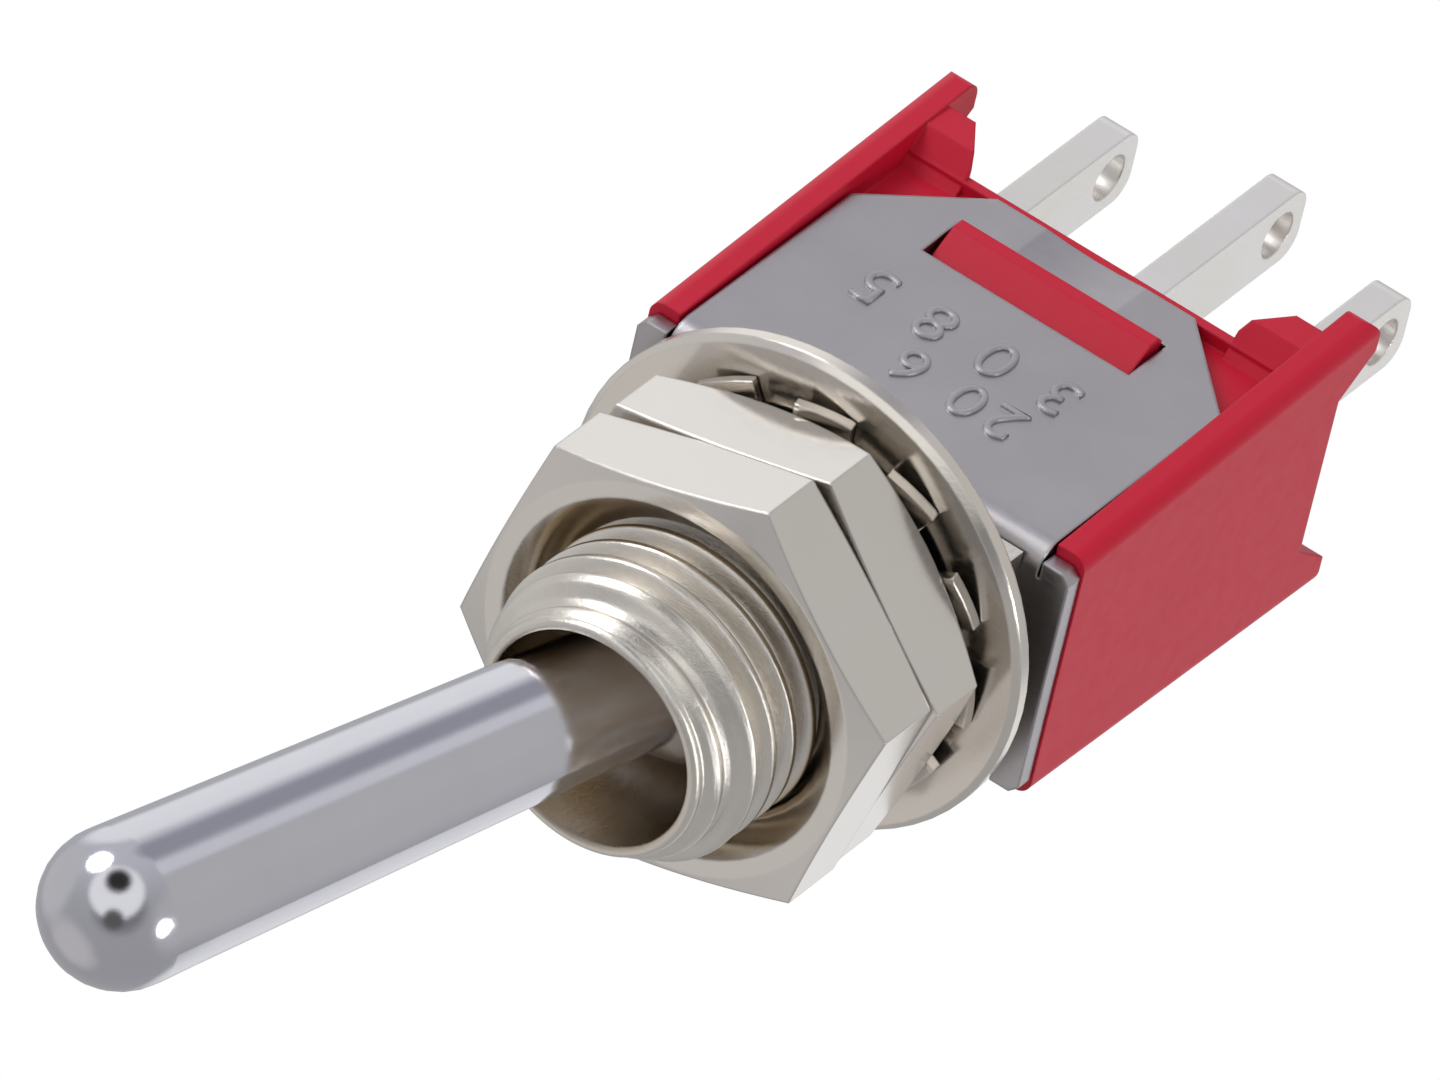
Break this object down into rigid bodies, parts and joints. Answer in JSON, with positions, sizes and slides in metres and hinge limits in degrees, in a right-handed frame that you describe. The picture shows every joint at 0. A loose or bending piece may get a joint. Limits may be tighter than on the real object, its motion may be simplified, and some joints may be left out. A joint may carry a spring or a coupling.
{
  "type": "panel toggle switch",
  "caption": "Sub-miniature panel toggle switch with a chromed bat lever in a threaded bushing, hex nuts, washers, a folded steel frame, a red moulded case and a row of solder lugs.",
  "frame": {"origin": "on the bushing's axis, at the front face of the folded frame that the bushing stands on", "axes": "+Z along the bushing towards the lever, +X along the row of lugs, +Y out of one of the two wide faces"},
  "size_m": [0.0082, 0.0082, 0.0275],
  "materials": {
    "frame_steel": "satin",
    "red_moulding": "semi-gloss",
    "bushing_plate": "bright nickel plate",
    "washer_plate": "bright nickel plate",
    "nut_plate": "bright nickel plate",
    "lever_chrome": "polished",
    "pin_steel": "ground",
    "plunger_nylon": "satin",
    "spring_steel": "bright wire",
    "rocker_brass": "satin",
    "contact_silver": "satin",
    "lug_tinned": "bright plate",
    "seal_epoxy": "matt"
  },
  "bodies": {
    "body": {"frame": "frame_steel", "case": "red_moulding", "bushing": "bushing_plate", "flat_washer": "washer_plate", "lock_washer": "washer_plate", "rear_nut": "nut_plate", "front_nut": "nut_plate", "fixed_contact_left": "contact_silver", "fixed_contact_right": "contact_silver", "terminal_left": "lug_tinned", "terminal_centre": "lug_tinned", "terminal_right": "lug_tinned", "epoxy_seal": "seal_epoxy"},
    "lever": {"lever": "lever_chrome", "pivot_pin": "pin_steel", "plunger_spring": "spring_steel"},
    "plunger": {"plunger": "plunger_nylon"},
    "rocker": {"contact_rocker": "rocker_brass", "rocker_contact_left": "contact_silver", "rocker_contact_right": "contact_silver"}
  },
  "joints": [
    {"name": "lever_tilt", "type": "hinge", "parent": "body", "child": "lever", "pos_m": [0, 0, 0.0032], "axis": [0, 1, 0], "range_deg": [0, 25]},
    {"name": "rocker_tilt", "type": "hinge", "parent": "body", "child": "rocker", "pos_m": [0, 0, -0.00315], "axis": [0, 1, 0], "range_deg": [-10, 0]},
    {"name": "plunger_slide", "type": "slide", "parent": "lever", "child": "plunger", "axis": [-0.2164, 0, 0.9763], "range_m": [0, 0.00025], "stiffness_N_per_m": 200, "springref_m": -0.0005, "deforming": ["plunger_spring"]}
  ],
  "couplings": [
    {"joint": "rocker_tilt", "follows": "lever_tilt", "ratio": -0.4}
  ]
}
